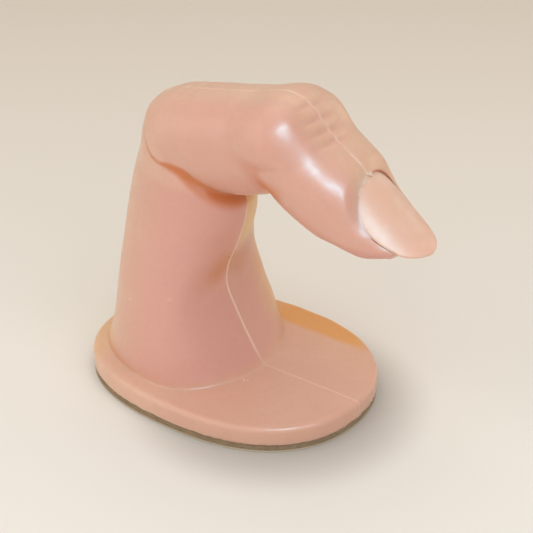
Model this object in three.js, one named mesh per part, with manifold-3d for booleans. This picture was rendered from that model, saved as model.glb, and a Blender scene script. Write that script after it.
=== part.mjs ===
// A nail practice finger: a bent finger in soft vinyl, moulded in one piece with the oval foot that it
// stands on, a nail that slides into a slot at its tip, and an adhesive pad with its release liner.
// Millimetres, +Z up. The origin is on the underside, at the middle of the foot's length. The finger
// points along +X, and the plane where the mould parts is Y = 0.

import * as THREE from 'three';
import { mergeVertices } from 'three/addons/utils/BufferGeometryUtils.js';
import Module from 'manifold-3d';

const wasm = await Module();
wasm.setup();

// Driving dimensions

// The foot is an oval flange, longer and squarer behind its widest place than before it.
const footLength = 61.2;
const footWidth = 45.8;
const footThickness = 4.1;
const footEdgeRadius = 1.2;
const footBackShare = 0.54;
const footBackSquareness = 2.7;
const footFrontSquareness = 2.2;

// The pad is double-sided foam tape cut to the foot's outline. The liner is the paper on its lower face.
const padThickness = 1.4;
const padInset = 0.25;
const linerThickness = 0.35;
const linerInset = 0.1;

// The column rises from the foot to the first knuckle.
const columnHeight = 52;
const columnBackReach = 29.2;
const columnFrontReach = 7.4;
const columnWidth = 37.4;
const columnMiddleShare = 0.63;

// The middle phalanx leaves the first knuckle, a little below the column's top, and rises a little.
const knuckleBackset = 8.8;
const knuckleDrop = 2.15;
const middleLength = 23.4;
const middleRiseDegrees = 13.6;
const middleWidth = 21.4;
const middleDorsal = 8.57;
const middlePalm = 13.44;
const middleBackCap = 10;
const middleFrontCap = 7.3;

// The distal phalanx leaves the second knuckle and points down to the fingertip.
const distalLength = 27.6;
const distalFallDegrees = 37.1;
const distalWidth = 24.3;
const distalDorsal = 7.95;
const distalPalm = 10;
const distalBackCap = 7.6;
const distalTipCap = 3.2;

// The mould's core leaves the column hollow and open below. It is drawn straight down.
const coreWall = 3.2;
const coreTopShare = 0.64;
const coreTopRound = 6;

// The nail is an arched plate. Its slot holds the hidden root and both side edges.
const nailLength = 18.9;
const nailWidth = 15.2;
const nailThickness = 0.75;
const nailArchRadius = 11.1;
const nailFallDegrees = 38;
const nailPlaceAlong = 16.3;
const nailTopHeight = 7.2;
const nailRootDepth = 1.8;
const nailGrooveDepth = 0.55;
const nailHalfMoonLength = 7.5;
const nailFreeEdgeLength = 4.6;
const nailFreeEdgeShare = 0.78;
const nailFreeEdgeSquareness = 1.6;
const nailSlotClearance = 0.3;

// How far a cut runs past the face that it opens.
const cutOverrun = 2;
const nailCutReach = 6;

// Counts of the flat faces that stand for curves.
const footSides = 64;
const footEdgeSteps = 4;
const limbSides = 32;
const nailColumns = 18;
const nailRows = 4;

const linerTop = linerThickness;
const padTop = linerTop + padThickness;
const footTop = padTop + footThickness;
const knuckleHeight = footTop + columnHeight - knuckleDrop;

// Sections of the column from its root up: the height as a share of columnHeight, its back and front
// as shares of its depth at the root, its width as a share of columnWidth, and how square its front is.
const columnStationShares = [
  { height: 0, back: 0, front: 1, width: 1, square: 2 },
  { height: 0.04, back: 0.027, front: 0.956, width: 0.995, square: 2.1 },
  { height: 0.12, back: 0.062, front: 0.885, width: 0.965, square: 2.4 },
  { height: 0.23, back: 0.088, front: 0.797, width: 0.88, square: 2.8 },
  { height: 0.27, back: 0.094, front: 0.766, width: 0.85, square: 3 },
  { height: 0.313, back: 0.098, front: 0.747, width: 0.82, square: 3.1 },
  { height: 0.35, back: 0.101, front: 0.745, width: 0.793, square: 3.1 },
  { height: 0.388, back: 0.103, front: 0.754, width: 0.765, square: 3 },
  { height: 0.45, back: 0.108, front: 0.785, width: 0.72, square: 2.8 },
  { height: 0.51, back: 0.115, front: 0.819, width: 0.68, square: 2.6 },
  { height: 0.58, back: 0.122, front: 0.854, width: 0.637, square: 2.4 },
  { height: 0.64, back: 0.131, front: 0.88, width: 0.6, square: 2.2 },
  { height: 0.745, back: 0.152, front: 0.893, width: 0.552, square: 2 },
  { height: 0.885, back: 0.216, front: 0.868, width: 0.515, square: 2 },
  { height: 1, back: 0.318, front: 0.81, width: 0.45, square: 2 },
];

// Sections of the phalanges: the place as a share of the length, the heights above and below the bone's
// line and the width as shares of the named ones, and how square the upper side is.
const middleStationShares = [
  { along: 0, dorsal: 1, palm: 0.866, width: 0.95, square: 2.2 },
  { along: 0.25, dorsal: 0.98, palm: 0.955, width: 0.98, square: 2.3 },
  { along: 0.5, dorsal: 0.961, palm: 1, width: 1, square: 2.3 },
  { along: 0.75, dorsal: 0.961, palm: 0.929, width: 1, square: 2.3 },
  { along: 1, dorsal: 0.961, palm: 0.795, width: 1, square: 2.3 },
];
const distalStationShares = [
  { along: 0, dorsal: 0.966, palm: 0.951, width: 1, square: 2.4 },
  { along: 0.177, dorsal: 0.946, palm: 0.98, width: 0.991, square: 2.4 },
  { along: 0.354, dorsal: 0.952, palm: 0.99, width: 0.971, square: 2.4 },
  { along: 0.53, dorsal: 1, palm: 0.92, width: 0.915, square: 2.4 },
  { along: 0.663, dorsal: 0.99, palm: 0.84, width: 0.868, square: 2.4 },
  { along: 0.778, dorsal: 0.925, palm: 0.71, width: 0.818, square: 2.6 },
  { along: 0.884, dorsal: 0.83, palm: 0.5, width: 0.752, square: 2.8 },
  { along: 1, dorsal: 0.7, palm: 0.18, width: 0.575, square: 2.8 },
];

// Where the rings of a rounded end lie, as shares of its quarter turn.
const capTurnShares = [0.1, 0.2, 0.4, 0.6, 0.8, 0.9];

const forwards = new THREE.Vector3(1, 0, 0);
const sideways = new THREE.Vector3(0, 1, 0);

// A direction in the plane Y = 0 by its angle up from +X, and the one square to it on the upper side.
function bearing(degrees) {
  const angle = THREE.MathUtils.degToRad(degrees);
  const along = new THREE.Vector3(Math.cos(angle), 0, Math.sin(angle));
  const up = new THREE.Vector3(-Math.sin(angle), 0, Math.cos(angle));
  return { along, up };
}

// Points of an oval round the origin of its plane. Each end has its own reach and squareness, where 2
// is an ellipse.
function ovalPoints(oval, sides) {
  const points = [];
  for (let i = 0; i < sides; i += 1) {
    const angle = (2 * Math.PI * i) / sides;
    const c = Math.cos(angle);
    const s = Math.sin(angle);
    const reach = c > 0 ? oval.front : oval.back;
    const power = 2 / (c > 0 ? oval.frontSquareness : oval.backSquareness);
    const u = reach * Math.sign(c) * Math.abs(c) ** power;
    const v = oval.half * Math.sign(s) * Math.abs(s) ** power;
    points.push(new THREE.Vector2(u, v));
  }
  return points;
}

// Lays flat points at a place in space, by the two axes of their plane.
function laid(points, place, uAxis, vAxis) {
  return points.map((p) => place.clone().addScaledVector(uAxis, p.x).addScaledVector(vAxis, p.y));
}

function scaledOval(oval, scale) {
  return {
    ...oval,
    front: oval.front * scale,
    back: oval.back * scale,
    half: oval.half * scale,
  };
}

function signedVolume(points, faces) {
  const normal = new THREE.Vector3();
  return faces.reduce((sum, [i, j, k]) => {
    return sum + normal.crossVectors(points[i], points[j]).dot(points[k]);
  }, 0);
}

// Skins rings of equal count and closes each end with a fan round the middle of its ring.
function loft(rings) {
  const sides = rings[0].length;
  const points = rings.flat();
  const faces = [];
  for (let r = 0; r + 1 < rings.length; r += 1) {
    for (let i = 0; i < sides; i += 1) {
      const a = r * sides + i;
      const b = r * sides + ((i + 1) % sides);
      faces.push([a, b, b + sides], [a, b + sides, a + sides]);
    }
  }
  for (const last of [false, true]) {
    const ring = last ? rings[rings.length - 1] : rings[0];
    const start = last ? (rings.length - 1) * sides : 0;
    const middle = points.length;
    points.push(ring.reduce((sum, p) => sum.add(p), new THREE.Vector3()).divideScalar(sides));
    for (let i = 0; i < sides; i += 1) {
      const a = start + i;
      const b = start + ((i + 1) % sides);
      faces.push(last ? [middle, a, b] : [middle, b, a]);
    }
  }
  const outward = signedVolume(points, faces) > 0;
  const geometry = new THREE.BufferGeometry().setFromPoints(points);
  geometry.setIndex(faces.flatMap(([i, j, k]) => (outward ? [i, j, k] : [i, k, j])));
  return geometry;
}

function solidOf(geometry) {
  const bare = geometry.clone();
  bare.deleteAttribute('normal');
  bare.deleteAttribute('uv');
  const merged = mergeVertices(bare);
  const vertProperties = new Float32Array(merged.getAttribute('position').array);
  const triVerts = new Uint32Array(merged.getIndex().array);
  return new wasm.Manifold(new wasm.Mesh({ numProp: 3, vertProperties, triVerts }));
}

function geometryOf(solid) {
  const mesh = solid.getMesh();
  const geometry = new THREE.BufferGeometry();
  geometry.setAttribute('position', new THREE.Float32BufferAttribute(mesh.vertProperties, 3));
  geometry.setIndex(Array.from(mesh.triVerts));
  geometry.computeVertexNormals();
  return geometry;
}

// Foot, pad and liner

const footMiddleX = footLength * footBackShare - footLength / 2;

function footOval(inset) {
  return {
    front: footLength * (1 - footBackShare) - inset,
    back: footLength * footBackShare - inset,
    half: footWidth / 2 - inset,
    frontSquareness: footFrontSquareness,
    backSquareness: footBackSquareness,
  };
}

function footRing(inset, height) {
  const place = new THREE.Vector3(footMiddleX, 0, height);
  return laid(ovalPoints(footOval(inset), footSides), place, forwards, sideways);
}

// The flange's side is upright and its top edge is rounded.
function footSolid() {
  const rings = [footRing(0, padTop)];
  for (let i = 0; i <= footEdgeSteps; i += 1) {
    const angle = (Math.PI / 2) * (i / footEdgeSteps);
    const inset = footEdgeRadius * (1 - Math.cos(angle));
    rings.push(footRing(inset, footTop - footEdgeRadius * (1 - Math.sin(angle))));
  }
  return solidOf(loft(rings));
}

function footSheet(inset, bottom, thickness) {
  const shape = new THREE.Shape(ovalPoints(footOval(inset), footSides));
  const sheet = new THREE.ExtrudeGeometry(shape, { depth: thickness, bevelEnabled: false });
  return sheet.translate(footMiddleX, 0, bottom);
}

// Column and core

function columnX(share) {
  return share * (columnBackReach + columnFrontReach) - columnBackReach;
}

// The column's oval at a station, inside a wall of the given thickness, and where its middle lies.
function columnSection(station, frontShare, wall) {
  const back = columnX(station.back) + wall;
  const front = columnX(frontShare) - wall;
  const middle = back + (front - back) * columnMiddleShare;
  const oval = {
    front: front - middle,
    back: middle - back,
    half: (columnWidth * station.width) / 2 - wall,
    frontSquareness: station.square,
    backSquareness: 2,
  };
  return { middle, oval };
}

function columnRing(section, height, scale) {
  const place = new THREE.Vector3(section.middle, 0, height);
  return laid(ovalPoints(scaledOval(section.oval, scale), limbSides), place, forwards, sideways);
}

function columnSolid() {
  const root = columnSection(columnStationShares[0], columnStationShares[0].front, 0);
  const rings = [columnRing(root, padTop, 1)];
  for (const station of columnStationShares) {
    const section = columnSection(station, station.front, 0);
    rings.push(columnRing(section, footTop + station.height * columnHeight, 1));
  }
  return solidOf(loft(rings));
}

// The core follows the column's wall, but above the waist its front stays as far back as at the waist,
// so that it can be drawn.
function coreSolid() {
  let section = columnSection(columnStationShares[0], columnStationShares[0].front, coreWall);
  let height = footTop;
  let frontShare = columnStationShares[0].front;
  const rings = [columnRing(section, padTop - cutOverrun, 1)];
  for (const station of columnStationShares.filter((s) => s.height <= coreTopShare)) {
    frontShare = Math.min(frontShare, station.front);
    section = columnSection(station, frontShare, coreWall);
    height = footTop + station.height * columnHeight;
    rings.push(columnRing(section, height, 1));
  }
  for (const turn of capTurnShares) {
    const angle = (Math.PI / 2) * turn;
    rings.push(columnRing(section, height + coreTopRound * Math.sin(angle), Math.cos(angle)));
  }
  return solidOf(loft(rings));
}

// Phalanges

const middleBearing = bearing(middleRiseDegrees);
const distalBearing = bearing(-distalFallDegrees);
const middleStart = new THREE.Vector3(-knuckleBackset, 0, knuckleHeight);
const distalStart = middleStart.clone().addScaledVector(middleBearing.along, middleLength);

function phalanxRing(limb, station, along, scale) {
  const oval = {
    front: limb.dorsal * station.dorsal,
    back: limb.palm * station.palm,
    half: (limb.width * station.width) / 2,
    frontSquareness: station.square,
    backSquareness: 2,
  };
  const place = limb.start.clone().addScaledVector(limb.bearing.along, along);
  return laid(ovalPoints(scaledOval(oval, scale), limbSides), place, limb.bearing.up, sideways);
}

// A phalanx runs through its stations and ends in two rounded caps.
function phalanxSolid(limb) {
  const rings = limb.stations.map((s) => phalanxRing(limb, s, s.along * limb.length, 1));
  const first = limb.stations[0];
  const last = limb.stations[limb.stations.length - 1];
  for (const turn of capTurnShares) {
    const angle = (Math.PI / 2) * turn;
    const scale = Math.cos(angle);
    rings.unshift(phalanxRing(limb, first, -limb.backCap * Math.sin(angle), scale));
    rings.push(phalanxRing(limb, last, limb.length + limb.frontCap * Math.sin(angle), scale));
  }
  return solidOf(loft(rings));
}

function middlePhalanxSolid() {
  return phalanxSolid({
    start: middleStart,
    bearing: middleBearing,
    length: middleLength,
    stations: middleStationShares,
    dorsal: middleDorsal,
    palm: middlePalm,
    width: middleWidth,
    backCap: middleBackCap,
    frontCap: middleFrontCap,
  });
}

function distalPhalanxSolid() {
  return phalanxSolid({
    start: distalStart,
    bearing: distalBearing,
    length: distalLength,
    stations: distalStationShares,
    dorsal: distalDorsal,
    palm: distalPalm,
    width: distalWidth,
    backCap: distalBackCap,
    frontCap: distalTipCap,
  });
}

// Nail and slot

const nailBearing = bearing(-nailFallDegrees);
const nailAxisStart = distalStart
  .clone()
  .addScaledVector(distalBearing.along, nailPlaceAlong)
  .addScaledVector(distalBearing.up, nailTopHeight)
  .addScaledVector(nailBearing.up, -nailArchRadius);

function nailPoint(along, angle, radius) {
  return nailAxisStart
    .clone()
    .addScaledVector(nailBearing.along, along)
    .addScaledVector(nailBearing.up, radius * Math.cos(angle))
    .addScaledVector(sideways, radius * Math.sin(angle));
}

// A slab bent round the nail's axis, between two radii. Its start and end are rounded over the given
// lengths, and a length of zero gives a straight end. endShare is the end's width as a share of the start's.
function archedSlab(slab) {
  const halfAngle = Math.asin(slab.halfWidth / nailArchRadius);
  const rings = [];
  for (let j = 0; j <= nailColumns; j += 1) {
    const across = -Math.cos((Math.PI * j) / nailColumns);
    const startSetback = 1 - Math.sqrt(1 - across * across);
    const endSetback = 1 - (1 - Math.abs(across) ** nailFreeEdgeSquareness) ** (1 / nailFreeEdgeSquareness);
    const start = slab.start + slab.startCurve * startSetback;
    const end = slab.end - slab.endCurve * endSetback;
    const inner = [];
    const outer = [];
    for (let i = 0; i <= nailRows; i += 1) {
      const share = i / nailRows;
      const along = THREE.MathUtils.lerp(start, end, share);
      const angle = halfAngle * across * THREE.MathUtils.lerp(1, slab.endShare, share);
      inner.push(nailPoint(along, angle, slab.inner));
      outer.unshift(nailPoint(along, angle, slab.outer));
    }
    rings.push([...inner, ...outer]);
  }
  return loft(rings);
}

function nailGeometry() {
  return archedSlab({
    halfWidth: nailWidth / 2,
    start: -nailRootDepth,
    startCurve: nailHalfMoonLength,
    end: nailLength,
    endCurve: nailFreeEdgeLength,
    endShare: nailFreeEdgeShare,
    inner: nailArchRadius - nailThickness,
    outer: nailArchRadius,
  });
}

// The slot is the nail's own shape with clearance round it, open at the fingertip.
function nailSlotSolid() {
  return solidOf(
    archedSlab({
      halfWidth: nailWidth / 2 + nailSlotClearance,
      start: -nailRootDepth - nailSlotClearance,
      startCurve: nailHalfMoonLength,
      end: nailLength + cutOverrun,
      endCurve: 0,
      endShare: 1,
      inner: nailArchRadius - nailThickness - nailSlotClearance,
      outer: nailArchRadius + nailSlotClearance,
    }),
  );
}

// The window bares the nail inside the cuticle and the side folds.
function nailWindowSolid() {
  return solidOf(
    archedSlab({
      halfWidth: nailWidth / 2 - nailGrooveDepth,
      start: 0,
      startCurve: nailHalfMoonLength,
      end: nailLength + cutOverrun,
      endCurve: 0,
      endShare: 1,
      inner: nailArchRadius - nailThickness / 2,
      outer: nailArchRadius + nailCutReach,
    }),
  );
}

function fingerShellGeometry() {
  const body = footSolid().add(columnSolid()).add(middlePhalanxSolid()).add(distalPhalanxSolid());
  return geometryOf(body.subtract(coreSolid()).subtract(nailSlotSolid()).subtract(nailWindowSolid()));
}

// The assembly

const vinyl = { color: 0xdda78b, roughness: 0.42, metalness: 0 };
const nailVinyl = { color: 0xe2b198, roughness: 0.32, metalness: 0 };
const foam = { color: 0x8c7758, roughness: 0.95, metalness: 0 };
const linerPaper = { color: 0xb8a68a, roughness: 0.7, metalness: 0 };

const finger = new THREE.Group();

function addPiece(name, geometry, finish) {
  const mesh = new THREE.Mesh(geometry, new THREE.MeshStandardMaterial(finish));
  mesh.name = name;
  finger.add(mesh);
}

addPiece('finger_shell', fingerShellGeometry(), vinyl);
addPiece('nail_plate', nailGeometry(), nailVinyl);
addPiece('foam_pad', footSheet(padInset, linerTop, padThickness), foam);
addPiece('release_liner', footSheet(linerInset, 0, linerThickness), linerPaper);

export default finger;
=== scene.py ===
# A bent practice finger for nail work: a soft vinyl skin on its oval foot, a nail in its slot, foam tape
# under the foot and the paper that covers the tape. Sizes are millimetres in the frame's own axes.
import math

import bmesh
import bpy
import numpy as np
import openvdb
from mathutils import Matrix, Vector


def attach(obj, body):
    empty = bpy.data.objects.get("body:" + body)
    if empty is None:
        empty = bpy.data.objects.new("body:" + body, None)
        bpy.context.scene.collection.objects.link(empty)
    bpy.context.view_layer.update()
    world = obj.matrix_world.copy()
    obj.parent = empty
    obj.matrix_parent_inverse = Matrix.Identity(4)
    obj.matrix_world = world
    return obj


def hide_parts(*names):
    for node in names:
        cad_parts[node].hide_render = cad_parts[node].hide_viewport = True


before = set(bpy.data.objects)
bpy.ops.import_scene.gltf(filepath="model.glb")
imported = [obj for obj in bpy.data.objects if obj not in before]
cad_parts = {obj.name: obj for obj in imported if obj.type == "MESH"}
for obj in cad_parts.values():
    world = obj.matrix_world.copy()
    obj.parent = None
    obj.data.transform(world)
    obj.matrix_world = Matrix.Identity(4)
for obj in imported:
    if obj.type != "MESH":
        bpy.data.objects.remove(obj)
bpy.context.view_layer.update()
mm = 0.001


def smoothStep(low, high, t):
    t = np.clip((t - low) / (high - low), 0, 1)
    return t * t * (3 - 2 * t)


def onlyBetween(value, low, high, soft):
    # 1 between the two limits, fading to 0 within the soft reach beyond them
    return smoothStep(low - soft, low, value) * smoothStep(high + soft, high, value)


def faded(rows, x, y, z):
    # the product of fades, each given as its axis, where it starts and where it is whole
    places = {"x": x, "y": y, "z": z}
    return math.prod(smoothStep(start, whole, places[axis]) for axis, start, whole in rows)


def softMin(a, b, reach):
    bite = np.maximum(reach - np.abs(a - b), 0) / reach
    return np.minimum(a, b) - bite * bite * reach / 4


def softMax(a, b, reach):
    return -softMin(-a, -b, reach)


def ridge(t, width):
    return np.exp(-((t / width) ** 2))


def easedCurve(t, stops, values):
    # a smooth curve through the stops
    stops = np.asarray(stops, float)
    values = np.asarray(values, float)
    slopes = np.gradient(values, stops)
    i = np.clip(np.searchsorted(stops, t) - 1, 0, len(stops) - 2)
    step = stops[i + 1] - stops[i]
    u = np.clip((t - stops[i]) / step, 0, 1)
    rise = values[i] * (1 + 2 * u) * (1 - u) ** 2 + values[i + 1] * u * u * (3 - 2 * u)
    return rise + step * (slopes[i] * u * (1 - u) ** 2 - slopes[i + 1] * u * u * (1 - u))


# the squareness of an ellipse, and what keeps a quotient from being 0
plainOval = 2.0
tiny = 0.000001


def ovalGauge(u, v, reach, half, square):
    # 1 on the oval, less inside it, and how fast that number grows per millimetre
    a = np.abs(u) / reach + tiny
    b = np.abs(v) / half + tiny
    k = (a**square + b**square) ** (1 / square)
    slope = k ** (1 - square) * np.hypot(a ** (square - 1) / reach, b ** (square - 1) / half)
    return k, slope


# Foot: an oval flange with an upright side and a rounded top edge
foot = {
    "centreX": 2.45,
    "frontReach": 28.15,
    "backReach": 33.0,
    "half": 23.2,
    "frontSquare": 2.23,
    "backSquare": 2.5,
    "bottom": 1.75,
    "top": 5.85,
    "edgeRadius": 0.95,
    "crown": 0.22,
}


def footOutline(x, y):
    u = x - foot["centreX"]
    reach = np.where(u > 0, foot["frontReach"], foot["backReach"])
    square = np.where(u > 0, foot["frontSquare"], foot["backSquare"])
    k, slope = ovalGauge(u, y, reach, foot["half"], square)
    return (k - 1) / slope, k


def footGap(x, y, z):
    side, k = footOutline(x, y)
    radius = foot["edgeRadius"]
    top = foot["top"] - foot["crown"] * k**4
    q1 = np.maximum(side + radius, 0)
    q2 = np.maximum(z - top + radius, 0)
    inner = np.minimum(np.maximum(side, z - top) + radius, 0)
    return np.maximum(np.hypot(q1, q2) + inner - radius, foot["bottom"] - z)


# Column: rows of height, back, front, half width and how square the front is
column = {
    "rows": [
        (5.85, -29.2, 7.4, 18.7, 2.0),
        (8.8, -27.9, 5.2, 18.5, 2.15),
        (12.1, -26.9, 3.2, 18.05, 2.5),
        (17.8, -26.0, 0.0, 16.5, 3.4),
        (22.1, -25.6, -1.8, 15.4, 4.5),
        (26.0, -25.4, -1.6, 14.4, 3.6),
        (32.4, -24.9, 0.8, 12.8, 2.3),
        (39.1, -24.1, 3.0, 11.3, 2.1),
        (44.6, -23.0, 3.5, 10.5, 2.0),
        (51.9, -20.4, 2.6, 10.0, 2.0),
        (57.8, -16.8, 0.4, 8.6, 2.0),
        (64.0, -12.0, -3.0, 5.0, 2.0),
    ],
    "middleShare": 0.63,
    "top": 57.8,
    "cap": 4.0,
}


def columnGap(x, y, z):
    heights, backs, fronts, halves, squares = zip(*column["rows"])
    at = np.clip(z, heights[0], column["top"])
    back = easedCurve(at, heights, backs)
    front = easedCurve(at, heights, fronts)
    half = easedCurve(at, heights, halves)
    middle = back + (front - back) * column["middleShare"]
    u = x - middle
    reach = np.where(u > 0, front - middle, middle - back)
    square = np.where(u > 0, easedCurve(at, heights, squares), plainOval)
    k, slope = ovalGauge(u, y, reach, half, square)
    over = np.maximum(z - column["top"], 0) / column["cap"]
    whole = np.hypot(k, over) + tiny
    steep = np.hypot(k * slope, over / column["cap"]) / whole
    return np.maximum((whole - 1) / steep, foot["bottom"] - z)


# Phalanges: rows of place along the bone, height above it, height below it, half width, squareness and
# how far the section's middle lies above the bone
middle = {
    "start": (-8.8, 55.7),
    "rise": 13.6,
    "length": 23.4,
    "rows": [
        (0.0, 8.57, 11.1, 10.17, 2.2, 0.0),
        (5.85, 8.4, 12.45, 10.5, 2.3, 0.0),
        (11.7, 8.24, 13.05, 10.7, 2.3, 0.0),
        (17.55, 8.24, 12.25, 11.0, 2.3, 0.0),
        (23.4, 8.24, 10.7, 11.4, 2.25, 0.0),
    ],
    "backCap": 9.5,
    "frontCap": 7.3,
    "capSquares": (2.3, 2.0),
}
distal = {
    "start": (13.944, 61.202),
    "rise": -37.1,
    "length": 30.4,
    "rows": [
        (0.0, 7.6, 9.51, 11.5, 2.2, 0.0),
        (4.9, 7.45, 9.8, 11.6, 2.2, 0.0),
        (9.8, 7.57, 9.9, 11.55, 2.3, 0.0),
        (14.6, 7.95, 9.2, 11.12, 2.4, 0.0),
        (18.3, 7.87, 8.4, 10.45, 2.4, 0.0),
        (21.5, 7.15, 6.5, 9.8, 2.5, 0.2),
        (24.4, 5.5, 5.9, 9.4, 2.5, 1.0),
        (27.6, 3.5, 5.8, 8.2, 2.1, 2.5),
        (29.0, 2.6, 4.9, 7.5, 2.0, 3.4),
        (30.4, 2.1, 3.6, 6.5, 2.0, 4.2),
    ],
    "backCap": 7.6,
    "frontCap": 1.0,
    "capSquares": (2.0, 2.0),
}


def limbPlace(limb, x, z):
    angle = math.radians(limb["rise"])
    c, s = math.cos(angle), math.sin(angle)
    dx, dz = x - limb["start"][0], z - limb["start"][1]
    return dx * c + dz * s, dz * c - dx * s


def limbGap(limb, x, y, z):
    along, up = limbPlace(limb, x, z)
    places, tops, palms, halves, squares, lifts = zip(*limb["rows"])
    at = np.clip(along, 0, limb["length"])
    up = up - easedCurve(at, places, lifts)
    reach = np.where(up > 0, easedCurve(at, places, tops), easedCurve(at, places, palms))
    square = np.where(up > 0, easedCurve(at, places, squares), plainOval)
    k, slope = ovalGauge(up, y, reach, easedCurve(at, places, halves), square)
    cap = np.where(along < 0, limb["backCap"], limb["frontCap"])
    over = np.where(along < 0, -along, np.maximum(along - limb["length"], 0)) / cap
    power = np.where(along < 0, *limb["capSquares"])
    whole = (k**power + over**power) ** (1 / power) + tiny
    steep = np.hypot(k ** (power - 1) * slope, over ** (power - 1) / cap)
    return (whole - 1) * whole ** (power - 1) / steep


# Nail: an arched plate. Its coordinates are the place along it, the arc across it and the height above
# its upper face
nail = {
    "start": (31.288, 57.113),
    "fall": 38.0,
    "arch": 11.1,
    "length": 18.9,
    "half": 7.6,
    "thickness": 0.75,
    "root": 1.8,
    "halfMoon": 7.5,
    "freeEdge": 4.6,
    "freeShare": 0.78,
    "taper": 2.5,
    "freeSquare": 1.6,
    "clearance": 0.1,
    "rim": 0.36,
    "columns": 56,
    "rows": 44,
    # how many points of the plate's border are tried along each end and along each side
    "borderEnds": 400,
    "borderSides": 120,
}
# The lips round the nail: how far they lie over its edge at the cuticle and further out, their height over
# its face on the near side, at the far cuticle and along the far side, and the flesh that carries them.
# Here and below, a fade says where it starts and where it is whole
lips = {
    "overlap": 0.3,
    "sideOverlap": 0.2,
    "skew": 0.17,
    "nearHeight": 0.12,
    "farHeight": 0.5,
    "farSideHeight": 0.04,
    "reach": 3.4,
    "swellRadius": 0.7,
    "swellOut": 0.45,
    "swellEnd": 8.5,
    "swellBlend": 1.0,
    "swellSink": 3.0,
    "trimBlend": 0.8,
    "trimDepth": 5.0,
    "overlapFade": (6, 11),
    "farSideFade": (1, 5),
    "crownFade": (-1.5, 1.5),
    "swellFade": (2, 6),
}


def nailPlace(x, y, z):
    angle = math.radians(-nail["fall"])
    c, s = math.cos(angle), math.sin(angle)
    dx, dz = x - nail["start"][0], z - nail["start"][1]
    along, up = dx * c + dz * s, dz * c - dx * s + nail["arch"]
    return along, nail["arch"] * np.arctan2(y, up), np.hypot(up, y) - nail["arch"]


def nailPoint(along, arc, height):
    angle = math.radians(-nail["fall"])
    c, s = math.cos(angle), math.sin(angle)
    turn = arc / nail["arch"]
    radius = nail["arch"] + height
    up = radius * np.cos(turn) - nail["arch"]
    x = nail["start"][0] + along * c - up * s
    z = nail["start"][1] + along * s + up * c
    return np.stack(np.broadcast_arrays(x, radius * np.sin(turn), z), -1)


def nailHalf(along):
    # half of the plate's arc: it narrows towards the free edge
    first = nail["halfMoon"] - nail["root"]
    share = np.clip((along - first) / (nail["length"] - nail["freeEdge"] - first), 0, 1)
    narrower = (1 - nail["freeShare"]) * share ** nail["taper"]
    return nail["arch"] * math.asin(nail["half"] / nail["arch"]) * (1 - narrower)


def lipHalf(along):
    # half of the bared arc at a place along the nail
    reach = np.maximum(along, nail["halfMoon"])
    fade = smoothStep(*lips["overlapFade"], reach)
    over = lips["overlap"] + (lips["sideOverlap"] - lips["overlap"]) * fade
    return nailHalf(reach) - over


def windowGap(along, arc):
    # how far outside the bared part of the nail a place lies, measured over its face
    moon = nail["halfMoon"]
    half = lipHalf(along)
    behind = along + lips["skew"] * arc - moon
    k, slope = ovalGauge(behind, arc, moon, half, plainOval)
    return np.where(behind < 0, (k - 1) / slope, np.abs(arc) - half)


def lipHeight(along, arc):
    farSide = smoothStep(*lips["farSideFade"], along)
    far = lips["farHeight"] + (lips["farSideHeight"] - lips["farHeight"]) * farSide
    return lips["nearHeight"] + (far - lips["nearHeight"]) * smoothStep(*lips["crownFade"], arc)


# Skin: how far its forms run into each other, where they do so, and how finely it is made. A span says
# between which two places something is whole and how soft its ends are
skin = {
    "palmCrease": 0.6,
    "backBlend": 3.6,
    "backFade": (-13.2, -17),
    "undercut": 1.3,
    "undercutReach": 1.7,
    "undercutFade": (-13, 1),
    "groove": 0.2,
    "grooveHalf": 0.6,
    "grooveSpan": (-13.5, -11.5, 2.5),
    "grooveFade": (58, 54),
    "secondCrease": 0.9,
    "secondBlend": 2.0,
    "secondFade": (57, 64),
    "sideBlend": 2.4,
    "sideFade": (57.5, 61.5),
    "nearSideFade": (3, 8),
    "farSideFade": (5, 9),
    "farTopFade": (6, 2),
    "footFillet": 0.3,
    "grid": 0.44,
    "boxLow": (-31.9, -24.4, 0.6),
    "boxHigh": (41.5, 24.5, 71.5),
    "background": 3.0,
    "pullRounds": 5,
    "pullReach": 0.02,
    "pullLimit": 0.3,
    "leastSlope": 0.05,
    # round the nail: how near the lips' edge each round of finer faces reaches, how high and how far out
    "finerReach": (1.6, 0.8),
    "finerHeight": 2,
    "finerEnd": 15,
    "seamHalf": 0.2,
    "seamMerge": 0.00001,
    "sharpAngle": 50,
}


def withLips(gap, x, y, z):
    # swells the flesh beside the nail and trims it to the lips' height over the nail
    along, arc, height = nailPlace(x, y, z)
    outside = windowGap(along, arc)
    top = lipHeight(along, arc)
    beyond = np.maximum(along - lips["swellEnd"], 0)
    radius = lips["swellRadius"]
    swell = np.sqrt((outside - lips["swellOut"]) ** 2 + (height - top + radius) ** 2 + beyond**2)
    swell = swell - radius + lips["swellSink"] * (1 - smoothStep(*lips["swellFade"], along))
    gap = softMin(gap, swell, lips["swellBlend"])
    near = 1 - smoothStep(0, lips["reach"], outside)
    trimmed = softMax(gap, height - top, lips["trimBlend"])
    return gap + (trimmed - gap) * near * (height > -lips["trimDepth"])


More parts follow.
